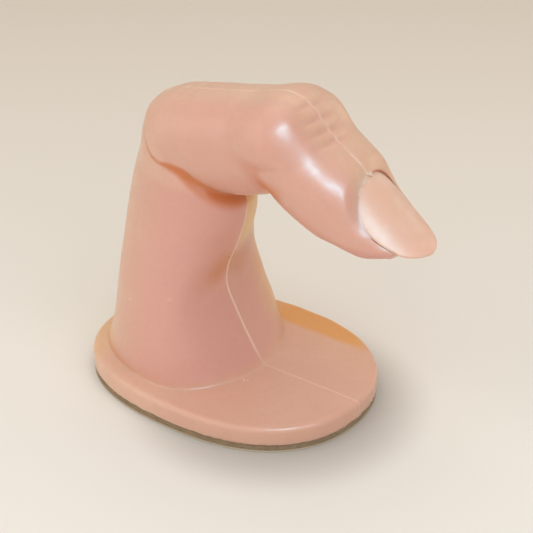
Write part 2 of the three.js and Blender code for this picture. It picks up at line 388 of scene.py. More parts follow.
def skinGap(x, y, z):
    # how far outside the plain moulding a place lies: column, phalanges, foot and lips run together
    bone = limbGap(middle, x, y, z)
    drawnIn = ridge(bone, skin["undercutReach"]) * smoothStep(*skin["undercutFade"], x)
    post = columnGap(x, y, z) + skin["undercut"] * drawnIn
    atBack = smoothStep(*skin["backFade"], x)
    gap = softMin(post, bone, skin["palmCrease"] + skin["backBlend"] * atBack)
    cut = ridge(post - bone, skin["grooveHalf"]) * onlyBetween(x, *skin["grooveSpan"])
    gap = gap + skin["groove"] * cut * smoothStep(*skin["grooveFade"], z)
    _, up = limbPlace(middle, x, z)
    farSide = smoothStep(*skin["farSideFade"], y) * smoothStep(*skin["farTopFade"], up)
    beside = smoothStep(*skin["nearSideFade"], -y) + farSide
    blend = skin["secondBlend"] * smoothStep(*skin["secondFade"], z)
    blend = blend + skin["sideBlend"] * beside * smoothStep(*skin["sideFade"], z)
    gap = softMin(gap, limbGap(distal, x, y, z), skin["secondCrease"] + blend)
    gap = softMin(gap, footGap(x, y, z), skin["footFillet"])
    return np.maximum(withLips(gap, x, y, z), foot["bottom"] - z)


# Relief of the moulding, all in mm: how high, how wide and where
relief = {
    "parting": 0.1,
    "partingHalf": 0.2,
    "mismatch": 0.03,
    "mismatchFade": (-0.25, 0.25),
    "columnParting": 0.1,
    "columnMismatch": 0.09,
    "columnMismatchFade": (-0.1, 0.3),
    # where the column's front carries a coarser line
    "columnFades": [("x", 4, 2), ("z", 7, 10), ("z", 50, 47)],
    "uneven": 0.05,
    "unevenLength": 9.0,
    # wrinkles over the end knuckle: place along the fingertip, side place, half length, depth
    "knuckle": [
        (-3.9, 0.0, 4.2, 0.07),
        (-1.1, 0.2, 4.8, 0.18),
        (2.0, 0.0, 5.2, 0.26),
        (4.7, -0.2, 5.2, 0.26),
        (7.2, -0.8, 4.6, 0.2),
    ],
    "knuckleWidth": 0.62,
    "knuckleBow": -0.02,
    "knuckleStep": 0.5,
    "knuckleStepFade": (-0.1, 0.1),
    "knuckleTopFade": (0, 4),
    # the swells on both sides of such a wrinkle: how far off, how wide, share of its depth
    "swellOff": 1.2,
    "swellWidth": 0.9,
    "swellShare": 0.35,
    # fine wrinkles over the middle knuckle: place along the middle phalanx, lean, depth
    "bend": [(-2.2, 0.3, 0.12), (0.5, 0.28, 0.16), (3.5, 0.27, 0.16), (6.0, 0.25, 0.08), (16.3, 0.1, 0.1)],
    "bendWidth": 0.4,
    "bendHalf": 7.0,
    "bendTopFade": (1, 5),
    # small nibs left by the mould: place, radius, height
    "nibs": [((11.6, -21.4, 5.5), 0.55, 0.14)],
}


def wave(x, y, z, length):
    # a slow unevenness between -1 and 1: waves at odd angles, so that no pattern shows
    k = 2 * math.pi / length
    a = np.sin(k * (x + 0.6 * y) + 1.3) * np.sin(k * (0.8 * y - 0.5 * z) + 0.4)
    b = np.sin(1.7 * k * (0.7 * x - 0.4 * z + 0.3 * y) + 2.1)
    return 0.6 * a + 0.4 * b


def wrinkleBands(x, y, z):
    # for each wrinkle over the end knuckle: its depth, how far it reaches and the place across it
    along, up = limbPlace(distal, x, z)
    step = relief["knuckleStep"] * smoothStep(*relief["knuckleStepFade"], y)
    shifted = along - relief["knuckleBow"] * y**2 - step
    onTop = smoothStep(*relief["knuckleTopFade"], up)
    for place, side, half, depth in relief["knuckle"]:
        yield depth, np.exp(-(((y - side) / half) ** 4)) * onTop, shifted - place


def reliefHeight(x, y, z):
    # how far the moulding's fine forms stand out from the plain shape
    onColumn = faded(relief["columnFades"], x, y, z)
    parting = np.maximum(1 - np.abs(y) / relief["partingHalf"], 0)
    height = (relief["parting"] + relief["columnParting"] * onColumn) * parting
    height = height + relief["mismatch"] * smoothStep(*relief["mismatchFade"], y)
    step = smoothStep(*relief["columnMismatchFade"], y)
    height = height - relief["columnMismatch"] * onColumn * step
    height = height + relief["uneven"] * wave(x, y, z, relief["unevenLength"])
    off, width = relief["swellOff"], relief["swellWidth"]
    for depth, fade, across in wrinkleBands(x, y, z):
        groove = ridge(across, relief["knuckleWidth"])
        swell = ridge(across - off, width) + ridge(across + off, width)
        height = height - depth * fade * (groove - relief["swellShare"] * swell)
    along, up = limbPlace(middle, x, z)
    fade = ridge(y, relief["bendHalf"]) * smoothStep(*relief["bendTopFade"], up)
    for place, lean, depth in relief["bend"]:
        height = height - depth * fade * ridge(along - place - lean * y, relief["bendWidth"])
    for (px, py, pz), radius, rise in relief["nibs"]:
        height = height + rise * ridge(np.sqrt((x - px) ** 2 + (y - py) ** 2 + (z - pz) ** 2), radius)
    return height


def detailedGap(x, y, z):
    return np.maximum(skinGap(x, y, z) - reliefHeight(x, y, z), foot["bottom"] - z)


def skinPlaces():
    # points and four-sided faces of the skin, read off a grid whose middle cells lie on the parting plane
    step = skin["grid"]
    low = np.array(skin["boxLow"])
    low[1] = -step * (int(-low[1] / step) + 0.5)
    counts = np.ceil((np.array(skin["boxHigh"]) - low) / step).astype(int)
    axes = [low[i] + step * np.arange(counts[i]) for i in range(3)]
    x, y, z = np.meshgrid(*axes, indexing="ij", sparse=True)
    x, y, z = np.broadcast_arrays(x, y, z)
    gap = skinGap(x, y, z).astype(np.float32)
    grid = openvdb.FloatGrid(background=skin["background"])
    grid.copyFromArray(np.ascontiguousarray(gap))
    points, quads = grid.convertToQuads(isovalue=0.0)
    return points * step + low, quads


def pulledToSkin(points, gapOf):
    # moves points square to the surface until they lie on it
    reach = skin["pullReach"]
    for _ in range(skin["pullRounds"]):
        x, y, z = points.T
        gap = gapOf(x, y, z)
        slope = np.stack(
            [
                gapOf(x + reach, y, z) - gapOf(x - reach, y, z),
                gapOf(x, y + reach, z) - gapOf(x, y - reach, z),
                gapOf(x, y, z + reach) - gapOf(x, y, z - reach),
            ],
            -1,
        ) / (2 * reach)
        steepness = np.maximum((slope**2).sum(-1), skin["leastSlope"])
        step = np.clip(gap / steepness, -skin["pullLimit"], skin["pullLimit"])
        points = points - step[:, None] * slope
    return points


def newMesh(name, points, faces):
    mesh = bpy.data.meshes.new(name)
    mesh.from_pydata((np.asarray(points) * mm).tolist(), [], [list(map(int, f)) for f in faces])
    mesh.validate()
    mesh.shade_smooth()
    piece = bpy.data.objects.new(name, mesh)
    bpy.context.scene.collection.objects.link(piece)
    return piece


def meshPoints(piece):
    flat = np.empty(len(piece.data.vertices) * 3)
    piece.data.vertices.foreach_get("co", flat)
    return flat.reshape(-1, 3) / mm


def setMask(piece, name, values):
    mask = piece.data.attributes.new(name, "FLOAT", "POINT")
    mask.data.foreach_set("value", np.clip(values, 0, 1).astype(np.float32))


def finerSkin(points, faces):
    # smaller faces round the nail and along the line where the mould parts
    mesh = bpy.data.meshes.new("finer")
    mesh.from_pydata(points.tolist(), [], faces.tolist())
    bm = bmesh.new()
    bm.from_mesh(mesh)
    bpy.data.meshes.remove(mesh)
    for reach in skin["finerReach"]:
        place = np.array([v.co[:] for v in bm.verts])
        along, arc, height = nailPlace(*place.T)
        near = (np.abs(windowGap(along, arc)) < reach) & (np.abs(height) < skin["finerHeight"])
        near &= along < skin["finerEnd"]
        bm.verts.ensure_lookup_table()
        edges = [e for e in bm.edges if near[e.verts[0].index] and near[e.verts[1].index]]
        bmesh.ops.subdivide_edges(bm, edges=edges, cuts=1, use_grid_fill=True)
        bm.verts.index_update()
    for side in (-1, 1):
        everything = bm.verts[:] + bm.edges[:] + bm.faces[:]
        plane = (0, side * skin["seamHalf"], 0)
        bmesh.ops.bisect_plane(
            bm, geom=everything, dist=skin["seamMerge"], plane_co=plane, plane_no=(0, 1, 0)
        )
    bm.verts.index_update()
    place = np.array([v.co[:] for v in bm.verts])
    corners = [[v.index for v in f.verts] for f in bm.faces]
    bm.free()
    return place, corners


def cutWith(piece, cutter):
    cut = piece.modifiers.new("cut", "BOOLEAN")
    cut.operation = "DIFFERENCE"
    cut.solver = "EXACT"
    cut.object = cutter
    whole = piece.evaluated_get(bpy.context.evaluated_depsgraph_get())
    piece.data = bpy.data.meshes.new_from_object(whole)
    piece.modifiers.clear()
    bpy.data.objects.remove(cutter)


def slotHalf(along):
    return nailHalf(along) + nail["clearance"]


# The blocks that cut the slot and its window: how finely they are made, how closely their columns crowd
# at the sides, how far past the root's curve their rows run level, and how far past and over the nail
# they reach
cutter = {
    "columns": 121,
    "fanRows": 12,
    "levelRows": 36,
    "crowding": 1.52,
    "levelPast": 1.6,
    "endPast": 2.0,
    "wallTop": 6.0,
}


def archedBlock(name, halfOf, root, ragged, low, high):
    # a block bent over the nail's arch, to cut with
    spread = np.linspace(-1, 1, cutter["columns"]) * cutter["crowding"]
    turns = np.sin(spread) / math.sin(cutter["crowding"])
    moon = nail["halfMoon"] * (1 - np.sqrt(1 - turns * turns))
    starts = moon - root + ragged(turns * halfOf(np.zeros(1)))
    # rows fan out from the curved root and run level once they are clear of it
    level = moon.max() + cutter["levelPast"]
    fan = starts[:, None] + (level - starts[:, None]) * np.linspace(0, 1, cutter["fanRows"])
    end = nail["length"] + cutter["endPast"]
    straight = np.linspace(level, end, cutter["levelRows"])[1:] + 0 * starts[:, None]
    along = np.concatenate([fan, straight], 1)
    arcs = turns[:, None] * halfOf(along)
    upper = nailPoint(along, arcs, high(arcs)).reshape(-1, 3)
    lower = nailPoint(along, arcs, low).reshape(-1, 3)
    n, m = along.shape
    faces = []
    for j in range(n - 1):
        for i in range(m - 1):
            a = j * m + i
            faces.append((a, a + 1, a + m + 1, a + m))
            faces.append(tuple(n * m + k for k in (a, a + m, a + m + 1, a + 1)))
    edge = [j * m for j in range(n)] + [(n - 1) * m + i for i in range(1, m)]
    edge += [j * m + m - 1 for j in range(n - 2, -1, -1)] + [i for i in range(m - 2, 0, -1)]
    for a, b in zip(edge, edge[1:] + edge[:1]):
        faces.append((a, b, n * m + b, n * m + a))
    block = newMesh(name, np.concatenate([upper, lower]), faces)
    facing = bmesh.new()
    facing.from_mesh(block.data)
    bmesh.ops.recalc_face_normals(facing, faces=facing.faces)
    facing.to_mesh(block.data)
    facing.free()
    return block


# The cuticle's edge: where its slit opens over the nail and how high it stands
cuticleEdge = {
    # flash: place across the nail, how far it hangs over the nail, width
    "flash": [
        (0.6, 0.55, 0.3),
        (-0.4, -0.4, 0.35),
        (-1.7, 0.28, 0.6),
        (-2.95, -0.45, 0.22),
        (-3.7, 0.12, 0.4),
    ],
    "openFade": (0.9, 2.2),
    "closeHeight": 0.04,
    "openHeight": 0.12,
}


def raggedEdge(arcs):
    torn = sum(hang * ridge(arcs - place, width) for place, hang, width in cuticleEdge["flash"])
    return torn - lips["skew"] * arcs


def straightEdge(arcs):
    return 0 * arcs


def slitHeight(arcs):
    # the slot gapes over the nail on the far side of its crown
    gape = smoothStep(*cuticleEdge["openFade"], arcs)
    return cuticleEdge["closeHeight"] + cuticleEdge["openHeight"] * gape


def wallHeight(arcs):
    return cutter["wallTop"] + 0 * arcs


print("skin: reading the surface")
skinPoints, skinFaces = skinPlaces()
skinPoints, skinFaces = finerSkin(skinPoints, np.asarray(skinFaces))
skinPoints = pulledToSkin(skinPoints, detailedGap)
fingerSkin = newMesh("fingerSkin", skinPoints, skinFaces)
print("skin: cutting the nail's slot")
slot = archedBlock(
    "slot",
    slotHalf,
    nail["root"] + nail["clearance"],
    straightEdge,
    -nail["thickness"] - nail["clearance"],
    slitHeight,
)
cutWith(fingerSkin, slot)
window = archedBlock("window", lipHalf, 0, raggedEdge, 0, wallHeight)
cutWith(fingerSkin, window)
fingerSkin.data.shade_smooth()
fingerSkin.data.set_sharp_from_angle(angle=math.radians(skin["sharpAngle"]))


# What the skin's tints and its painted shade follow. A ramp goes away from a form. Rows of fades are
# explained at faded()
tints = {
    # painted shade in the dark wedge where the middle phalanx leaves the column: its reach at the back, and
    # how much further it reaches at the front
    "wedge": {
        "reach": (0.5, 3.9),
        "widening": (-12, 3),
        "ramp": (0.35, 1.0),
        "contact": (0.02, 0.16),
        "fades": [("x", -16.5, -13.5), ("z", 57, 53), ("z", 10, 20)],
        "near": (0.3, 0.0),
        "farShare": 0.3,
    },
    # painted shade in the crease under the end knuckle
    "bend": {
        "ramp": (0.1, 2.4),
        "contact": (0.02, 0.2),
        "fades": [("z", 60.5, 57.5), ("x", 6, 8), ("x", 20, 18), ("y", -2, -6)],
        "share": 0.4,
    },
    # painted shade in the corner round the column's root
    "base": {
        "ramp": (0.1, 2.2),
        "contact": (0.0, 0.35),
        "back": (-8, -22),
        "frontShare": 0.3,
        "share": 0.5,
    },
    # painted shade in the gap round the nail, open at the far cuticle and faint along the sides
    "rim": {
        "ramp": (0.05, 0.3),
        "depth": (0.5, 0.9),
        "far": (0.9, 1.6),
        "sideFrom": 9,
        "sideShare": 0.25,
        "share": 0.75,
    },
    # painted rosy shade in the grooves of the wrinkles over the end knuckle: the share is of their depth in
    # mm
    "wrinkles": {"width": 0.8, "share": 2.2},
    # painted warm shade in brown patches on the column's front: place, radius
    "brownShade": {"patches": [((-1.5, -3.0, 27.5), 6.0), ((-1.0, 4.5, 27.0), 6.5)], "core": 0.2},
    # the pale line where the mould parts, stronger up the column's front, fainter on the foot and on top
    "line": {
        "ramp": (0.1, 0.35),
        "share": 0.5,
        "changes": [
            (0.4, [("x", 8, 4), ("z", 6, 9), ("z", 52, 48)]),
            (-0.2, [("z", 9, 6)]),
            (-0.25, [("z", 60, 62), ("x", 14, 9)]),
        ],
    },
    # the pale torn edge at the cuticle
    "cuticle": {"ramp": (0.2, 0.7), "depth": 0.6, "span": (-4.5, 0.9, 0.3), "end": 3, "share": 0.7},
    # a flow mark across the column, from one place to the other
    "flow": {"ends": ((-15.4, -14.7, 20.9), (-5.5, -14.2, 24.2)), "ramp": (0.15, 0.5), "share": 0.4},
}
# Regions that a tint covers by itself: the most it reaches there, and its fades
regions = {
    # the column's near side, all round lower down, the phalanges' flanks and the top of the foot
    "rosyAndWrinkleShade": [
        (1.0, [("z", 5, 8), ("z", 49, 46), ("x", -26, -6), ("y", 5, -2)]),
        (0.85, [("z", 5, 8), ("z", 34, 27), ("x", -26, -6)]),
        (0.7, [("y", -1, -8), ("x", -22, 0), ("z", 38, 44)]),
        (0.35, [("z", 8, 6), ("x", -18, 6)]),
    ],
    # painted warm reflection on the far half of the column's front, its far edge and its back
    "warmReflection": [
        (1.0, [("x", -14, -4), ("x", 14, 8), ("z", 28, 36), ("z", 55, 47), ("y", 0, 0.4), ("y", 15, 6)]),
        (0.6, [("y", 6, 14), ("z", 3, 13), ("z", 38, 28), ("x", -16, -6)]),
        (0.5, [("x", -19.5, -25.5), ("z", 0, 8), ("z", 42, 34)]),
    ],
    # the orange light on the foot's far edge
    "glow": [(1.0, [("y", 15.2, 17.2), ("z", 3.8, 4.6), ("z", 7.8, 7), ("x", -12, 1), ("x", 25, 17)])],
}


# painted shade in the wedge under the middle phalanx
def wedgeShade(x, y, z):
    tint = tints["wedge"]
    bone = limbGap(middle, x, y, z)
    least, further = tint["reach"]
    reach = least + further * smoothStep(*tint["widening"], x)
    shade = (1 - smoothStep(*tint["ramp"], bone / reach)) * smoothStep(*tint["contact"], bone)
    share = tint["farShare"]
    nearer = share + (1 - share) * smoothStep(*tint["near"], y)
    return shade * faded(tint["fades"], x, y, z) * nearer


# painted shade in the crease under the end knuckle
def bendShade(x, y, z):
    tint = tints["bend"]
    tip = limbGap(distal, x, y, z)
    shade = (1 - smoothStep(*tint["ramp"], tip)) * smoothStep(*tint["contact"], tip)
    return tint["share"] * shade * faded(tint["fades"], x, y, z)


# painted shade in the corner round the column's root
def baseShade(x, y, z):
    tint = tints["base"]
    flange = footGap(x, y, z)
    corner = np.maximum(columnGap(x, y, z), flange)
    shade = (1 - smoothStep(*tint["ramp"], corner)) * smoothStep(*tint["contact"], flange)
    share = tint["frontShare"]
    return tint["share"] * shade * (share + (1 - share) * smoothStep(*tint["back"], x))


# painted shade in the gap round the nail
def rimShade(x, y, z):
    tint = tints["rim"]
    along, arc, height = nailPlace(x, y, z)
    edge = 1 - smoothStep(*tint["ramp"], np.abs(windowGap(along, arc)))
    edge = edge * (1 - smoothStep(*tint["depth"], np.abs(height))) * (along < nail["length"])
    gape = smoothStep(*tint["far"], arc) + tint["sideShare"] * (along > tint["sideFrom"])
    return tint["share"] * edge * gape


# painted rosy shade in the grooves of the end knuckle's wrinkles
def wrinkleShade(x, y, z):
    tint = tints["wrinkles"]
    bands = [depth * fade * ridge(across, tint["width"]) for depth, fade, across in wrinkleBands(x, y, z)]
    return tint["share"] * np.maximum.reduce(bands)


# painted warm shade on the column's front
def columnFrontShade(x, y, z):
    tint = tints["brownShade"]
    place = np.stack([x, y, z], -1)
    brownShade = 0
    for centre, radius in tint["patches"]:
        away = np.sqrt(((place - centre) ** 2).sum(-1))
        brownShade = brownShade + 1 - smoothStep(tint["core"], 1, away / radius)
    return brownShade


def lineTint(x, y, z):
    tint = tints["line"]
    strength = tint["share"] + sum(share * faded(rows, x, y, z) for share, rows in tint["changes"])
    return strength * (1 - smoothStep(*tint["ramp"], np.abs(y)))


def cuticleTint(x, y, z):
    tint = tints["cuticle"]
    along, arc, height = nailPlace(x, y, z)
    edge = 1 - smoothStep(*tint["ramp"], np.abs(windowGap(along, arc)))
    edge = edge * (np.abs(height) < tint["depth"]) * (along < tint["end"])
    return tint["share"] * edge * onlyBetween(arc, *tint["span"])


def flowTint(x, y, z):
    tint = tints["flow"]
    first, last = np.array(tint["ends"])
    place = np.stack([x, y, z], -1)
    share = np.clip((place - first) @ (last - first) / ((last - first) ** 2).sum(), 0, 1)
    away = np.sqrt(((place - first - share[:, None] * (last - first)) ** 2).sum(-1))
    return tint["share"] * (1 - smoothStep(*tint["ramp"], away))


def paintSkin():
    # masks that the vinyl's colour follows: painted shade and pale lines along forms, and plain regions,
    # among them painted reflected light
    forms = {
        "foldShade": (wedgeShade, bendShade, baseShade, rimShade),
        "rosyAndWrinkleShade": (wrinkleShade,),
        "brownShade": (columnFrontShade,),
        "seam": (lineTint, cuticleTint, flowTint),
    }
    places = meshPoints(fingerSkin).T
    for name in ("foldShade", "rosyAndWrinkleShade", "warmReflection", "glow", "brownShade", "seam"):
        parts = [form(*places) for form in forms.get(name, ())]
        parts += [share * faded(rows, *places) for share, rows in regions.get(name, ())]
        setMask(fingerSkin, name, np.maximum.reduce(parts))


paintSkin()
print("skin:", len(fingerSkin.data.polygons), "faces")


def nailStart(t):
    # where the plate starts at a share of its half width
    return nail["halfMoon"] * (1 - np.sqrt(np.maximum(1 - t * t, 0))) - nail["root"]


def nailEnd(t):
    square = nail["freeSquare"]
    return nail["length"] - nail["freeEdge"] * (1 - np.maximum(1 - np.abs(t) ** square, 0) ** (1 / square))


def nailSheet(t, share):
    # along and arc of a place given by its shares across and along the plate
    along = nailStart(t) + (nailEnd(t) - nailStart(t)) * share
    halfArc = nail["arch"] * math.asin(nail["half"] / nail["arch"])
    return along, halfArc * t * (1 + (nail["freeShare"] - 1) * share ** nail["taper"])


def borderDistance(along, arc):
    # how far a place on the plate is from the plate's border
    ends = np.sin(np.linspace(-1, 1, nail["borderEnds"]) * math.pi / 2)
    sides = np.linspace(0, 1, nail["borderSides"])
    t = np.concatenate([ends, ends, 0 * sides - 1, 0 * sides + 1])
    share = np.concatenate([0 * ends, 0 * ends + 1, sides, sides])
    borderAlong, borderArc = nailSheet(t, share)
    gap = np.hypot(along[..., None] - borderAlong, arc[..., None] - borderArc)
    return gap.min(-1)


def makeNail():
    n, m = nail["columns"], nail["rows"]
    t = np.sin(np.linspace(-1, 1, n) * math.pi / 2)[:, None]
    share = (1 - np.cos(np.linspace(0, 1, m) * math.pi))[None, :] / 2
    along, arc = nailSheet(t, share)
    inside = np.clip(borderDistance(along, arc) / nail["rim"], 0, 1)
    inside[0, :] = inside[-1, :] = inside[:, 0] = inside[:, -1] = 0
    swell = np.sqrt(1 - (1 - inside) ** 2) * nail["thickness"] / 2
    middleHeight = -nail["thickness"] / 2
    upper = nailPoint(along, arc, middleHeight + swell).reshape(-1, 3)
    lower = nailPoint(along, arc, middleHeight - swell).reshape(-1, 3)
    onEdge = np.zeros((n, m), bool)
    onEdge[0, :] = onEdge[-1, :] = onEdge[:, 0] = onEdge[:, -1] = True
    onEdge = onEdge.reshape(-1)
    names = np.arange(n * m)
    below = np.where(onEdge, names, 0)
    below[~onEdge] = n * m + np.arange((~onEdge).sum())
    faces = []
    for j in range(n - 1):
        for i in range(m - 1):
            corners = [j * m + i, j * m + i + 1, (j + 1) * m + i + 1, (j + 1) * m + i]
            faces.append(corners)
            faces.append([below[k] for k in reversed(corners)])
    return newMesh("nailPlate", np.concatenate([upper, lower[~onEdge]]), faces)


print("nail: making the plate")
nailPlate = makeNail()


# Foam tape and its cover paper: flat ovals under the foot
foam = {
    "inset": 0.25,
    "low": 0.35,
    "high": 1.75,
    "columns": 720,
    "rows": 9,
    "cellDepth": 0.07,
    "waist": 0.06,
    "corner": 0.05,
    "seed": 11,
    "sharpAngle": 40,
}
paper = {
    "inset": 0.12,
    "low": 0.0,
    "high": 0.35,
    "columns": 360,
    "rows": 5,
    "cellDepth": 0.02,
    "waist": -0.02,
    "corner": 0.06,
    "seed": 5,
    "sharpAngle": 40,
}
# Rings inside the upper and lower edge, as shares of the way out from the middle
ringShares = (0.97, 0.85, 0.6, 0.3)
# The edge's roughness swells and falls with a half wave, less this share at both ends
roughMargin = 0.1


def ovalEdge(turn, inset):
    c, s = np.cos(turn), np.sin(turn)
    reach = np.where(c > 0, foot["frontReach"], foot["backReach"]) - inset
    square = np.where(c > 0, foot["frontSquare"], foot["backSquare"])
    half = foot["half"] - inset
    k = (np.abs(c / reach) ** square + np.abs(s / half) ** square) ** (-1 / square)
    return foot["centreX"] + k * c, k * s


def cutLayer(name, layer):
    # a layer cut out with a knife: its edge is a little rough, and its waist a little drawn in
    random = np.random.default_rng(layer["seed"])
    n, m = layer["columns"], layer["rows"]
    turn = np.linspace(0, 2 * math.pi, n, endpoint=False)
    rough = random.random((m, n))
    rough = (rough + np.roll(rough, 1, 1) + np.roll(rough, -1, 1)) / 3
    rings = []
    for row, share in enumerate(np.linspace(0, 1, m)):
        draw = layer["waist"] * math.sin(math.pi * share)
        draw += layer["corner"] * (share in (0.0, 1.0))
        swing = math.sin(math.pi * (roughMargin + (1 - 2 * roughMargin) * share))
        px, py = ovalEdge(turn, layer["inset"] + draw + layer["cellDepth"] * rough[row] * swing)
        height = layer["low"] + (layer["high"] - layer["low"]) * share
        rings.append(np.stack([px, py, 0 * px + height], -1))
    centre = np.array([foot["centreX"], 0])
    caps = []
    for ring in (rings[0], rings[-1]):
        for share in ringShares:
            inner = ring.copy()
            inner[:, :2] = centre + (ring[:, :2] - centre) * share
            caps.append(inner)
    order = caps[: len(ringShares)][::-1] + rings + caps[len(ringShares) :]
    points = np.concatenate(order + [[[centre[0], 0, layer["low"]], [centre[0], 0, layer["high"]]]])
    faces = []
    for row in range(len(order) - 1):
        for i in range(n):
            j = (i + 1) % n
            faces.append((row * n + i, row * n + j, row * n + n + j, row * n + n + i))
    last = len(order) - 1
    for i in range(n):
        j = (i + 1) % n
        faces.append((len(order) * n, j, i))
        faces.append((len(order) * n + 1, last * n + i, last * n + j))
    piece = newMesh(name, points, faces)
    piece.data.set_sharp_from_angle(angle=math.radians(layer["sharpAngle"]))
    return piece


print("tape: making the foam and its paper")
foamTape = cutLayer("foamTape", foam)
linerPaper = cutLayer("linerPaper", paper)


def shaderGroup(name, inputs, outputs):
    group = bpy.data.node_groups.new(name, "ShaderNodeTree")
    for label, value in inputs:
        socket = group.interface.new_socket(label, in_out="INPUT", socket_type="NodeSocketFloat")
        socket.default_value = value
    for label in outputs:
        group.interface.new_socket(label, in_out="OUTPUT", socket_type="NodeSocketFloat")
    return group, group.nodes.new("NodeGroupInput"), group.nodes.new("NodeGroupOutput")


def addNode(tree, kind, values=None, **settings):
    made = tree.nodes.new("ShaderNode" + kind)
    for key, value in settings.items():
        setattr(made, key, value)
    for key, value in (values or {}).items():
        made.inputs[key].default_value = value
    return made


def mathNode(tree, operation, first, second):
    made = addNode(tree, "Math", operation=operation)
    for i, value in enumerate((first, second)):
        if isinstance(value, bpy.types.NodeSocket):
            tree.links.new(value, made.inputs[i])
        else:
            made.inputs[i].default_value = value
    return made.outputs[0]


def makeMottle():
    # soft patches of unlike colour: Scale is how many patches there are to a metre
    tree, source, result = shaderGroup(
        "mottle", [("Scale", 120.0), ("Detail", 3.0), ("Low", 0.35), ("High", 0.65)], ["Mask"]
    )
    place = addNode(tree, "TexCoord")
    noise = addNode(tree, "TexNoise", {"Roughness": 0.55, "Distortion": 0.3})
    fit = addNode(tree, "MapRange", interpolation_type="SMOOTHSTEP")
    tree.links.new(place.outputs["Object"], noise.inputs["Vector"])
    tree.links.new(source.outputs["Scale"], noise.inputs["Scale"])
    tree.links.new(source.outputs["Detail"], noise.inputs["Detail"])
    tree.links.new(noise.outputs["Fac"], fit.inputs["Value"])
    tree.links.new(source.outputs["Low"], fit.inputs["From Min"])
    tree.links.new(source.outputs["High"], fit.inputs["From Max"])
    tree.links.new(fit.outputs[0], result.inputs["Mask"])
    return tree


def makeGrain():
    # the fine grain of a moulded or foamed surface: round cells and a finer noise over them, both as many
    # to a metre as their sockets say
    tree, source, result = shaderGroup(
        "grain",
        [("Cells", 2200.0), ("Dust", 5200.0), ("Share", 0.5), ("Flatten", 1.0)],
        ["Height", "Speck"],
    )
    coordinates = addNode(tree, "TexCoord")
    stretch = addNode(tree, "CombineXYZ", {"X": 1.0, "Y": 1.0})
    place = addNode(tree, "VectorMath", operation="MULTIPLY")
    tree.links.new(source.outputs["Flatten"], stretch.inputs["Z"])
    tree.links.new(coordinates.outputs["Object"], place.inputs[0])
    tree.links.new(stretch.outputs[0], place.inputs[1])
    cells = addNode(tree, "TexVoronoi", {"Randomness": 1.0}, feature="SMOOTH_F1")
    dust = addNode(tree, "TexNoise", {"Detail": 2.0, "Roughness": 0.6})
    for made, socket in ((cells, "Cells"), (dust, "Dust")):
        tree.links.new(place.outputs[0], made.inputs["Vector"])
        tree.links.new(source.outputs[socket], made.inputs["Scale"])
    part = mathNode(tree, "MULTIPLY", cells.outputs["Distance"], source.outputs["Share"])
    height = mathNode(tree, "ADD", part, dust.outputs["Fac"])
    tree.links.new(height, result.inputs["Height"])
    tree.links.new(dust.outputs["Fac"], result.inputs["Speck"])
    return tree


def makeSpot():
    # one small round mark at a place given in metres
    tree, source, result = shaderGroup(
        "spot", [("X", 0.0), ("Y", 0.0), ("Z", 0.0), ("Radius", 0.0003)], ["Mask"]
    )
    place = addNode(tree, "TexCoord")
    centre = addNode(tree, "CombineXYZ")
    away = addNode(tree, "VectorMath", operation="DISTANCE")
    fit = addNode(tree, "MapRange", {"To Min": 1.0, "To Max": 0.0}, interpolation_type="SMOOTHSTEP")
    for axis in "XYZ":
        tree.links.new(source.outputs[axis], centre.inputs[axis])
    tree.links.new(place.outputs["Object"], away.inputs[0])
    tree.links.new(centre.outputs[0], away.inputs[1])
    tree.links.new(away.outputs["Value"], fit.inputs["Value"])
    tree.links.new(source.outputs["Radius"], fit.inputs["From Max"])
    tree.links.new(fit.outputs[0], result.inputs["Mask"])
    return tree


print("materials")
mottleGroup = makeMottle()
grainGroup = makeGrain()
spotGroup = makeSpot()


def placeGroup(tree, group, values):
    made = addNode(tree, "Group", node_tree=group)
    for key, value in values.items():
        made.inputs[key].default_value = value
    return made


def mixColour(tree, factor, first, second, blend="MIX"):
    made = addNode(tree, "Mix", data_type="RGBA", blend_type=blend)
    if isinstance(factor, bpy.types.NodeSocket):
        tree.links.new(factor, made.inputs[0])
    else:
        made.inputs[0].default_value = factor
    for i, value in ((6, first), (7, second)):
        if isinstance(value, bpy.types.NodeSocket):
            tree.links.new(value, made.inputs[i])
        else:
            made.inputs[i].default_value = (*value, 1)
    return made.outputs[2]


def readMask(tree, name):
    return addNode(tree, "Attribute", attribute_name=name).outputs["Fac"]


def plainMaterial(name, finish):
    material = bpy.data.materials.new(name)
    material.use_nodes = True
    tree = material.node_tree
    shader = tree.nodes["Principled BSDF"]
    for key, value in finish.items():
        shader.inputs[key].default_value = value
    return material, tree, shader


def bumpFrom(tree, height, distance, strength):
    bump = addNode(tree, "Bump", {"Strength": strength, "Distance": distance})
    tree.links.new(height, bump.inputs["Height"])
    return bump.outputs["Normal"]


def fitted(tree, value, low, high):
    made = addNode(tree, "MapRange")
    tree.links.new(value, made.inputs["Value"])
    made.inputs["To Min"].default_value = low
    made.inputs["To Max"].default_value = high
    return made.outputs[0]


